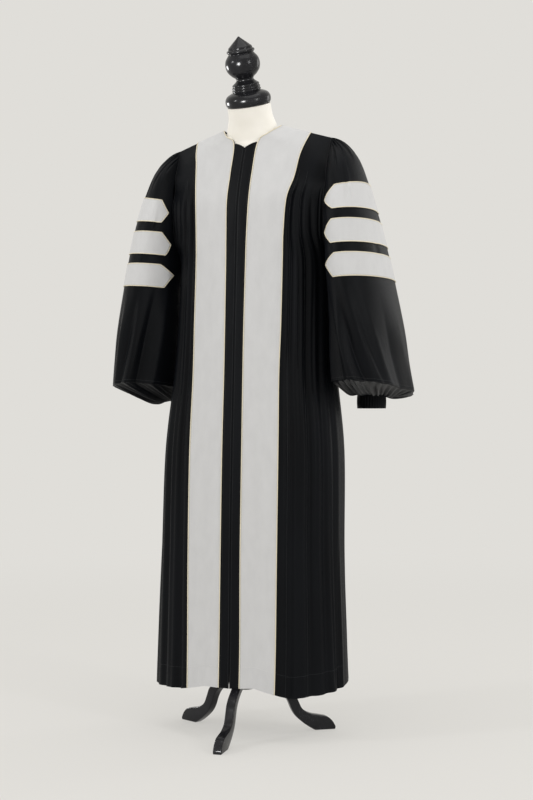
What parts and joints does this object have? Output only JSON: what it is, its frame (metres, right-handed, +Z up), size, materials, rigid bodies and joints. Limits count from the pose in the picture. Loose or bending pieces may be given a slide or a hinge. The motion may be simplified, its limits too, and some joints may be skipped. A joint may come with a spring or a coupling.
{
  "type": "graduation gown on dress form",
  "caption": "Black doctoral graduation gown with light velvet bands and sleeve bars, worn by a cream limbless dress form with a finial and a tripod stand",
  "frame": {"origin": "middle of the bounding box, on the floor under the feet", "axes": "+Z up; the gown's front faces -Y; +X is the gown's left"},
  "size_m": [0.759, 0.4824, 1.6779],
  "materials": {
    "black_cloth": "smooth black gown cloth with a soft sheen",
    "grey_velvet": "light grey velvet",
    "ivory_piping": "ivory piping cord",
    "black_zip": "black zip tape",
    "cream_jersey": "cream jersey cover",
    "black_wood": "turned wood in gloss black paint",
    "black_metal": "gloss black paint"
  },
  "bodies": {
    "root": {"back": "black_cloth", "band_back": "grey_velvet", "band_left": "grey_velvet", "band_right": "grey_velvet", "bar_left_1": "grey_velvet", "bar_left_2": "grey_velvet", "bar_left_3": "grey_velvet", "bar_right_1": "grey_velvet", "bar_right_2": "grey_velvet", "bar_right_3": "grey_velvet", "cuff_left": "black_cloth", "cuff_right": "black_cloth", "finial": "black_wood", "form_torso": "cream_jersey", "front_left": "black_cloth", "front_right": "black_cloth", "hub": "black_metal", "leg_front": "black_metal", "leg_left": "black_metal", "leg_right": "black_metal", "piping_back": "ivory_piping", "piping_bar_left_1": "ivory_piping", "piping_bar_left_2": "ivory_piping", "piping_bar_left_3": "ivory_piping", "piping_bar_right_1": "ivory_piping", "piping_bar_right_2": "ivory_piping", "piping_bar_right_3": "ivory_piping", "piping_inner_left": "ivory_piping", "piping_inner_right": "ivory_piping", "piping_nape": "ivory_piping", "piping_outer_left": "ivory_piping", "piping_outer_right": "ivory_piping", "placket_left": "black_cloth", "placket_right": "black_cloth", "pole": "black_metal", "sleeve_left": "black_cloth", "sleeve_right": "black_cloth", "under_left": "black_cloth", "under_right": "black_cloth", "zip_tape": "black_zip"}
  },
  "joints": []
}
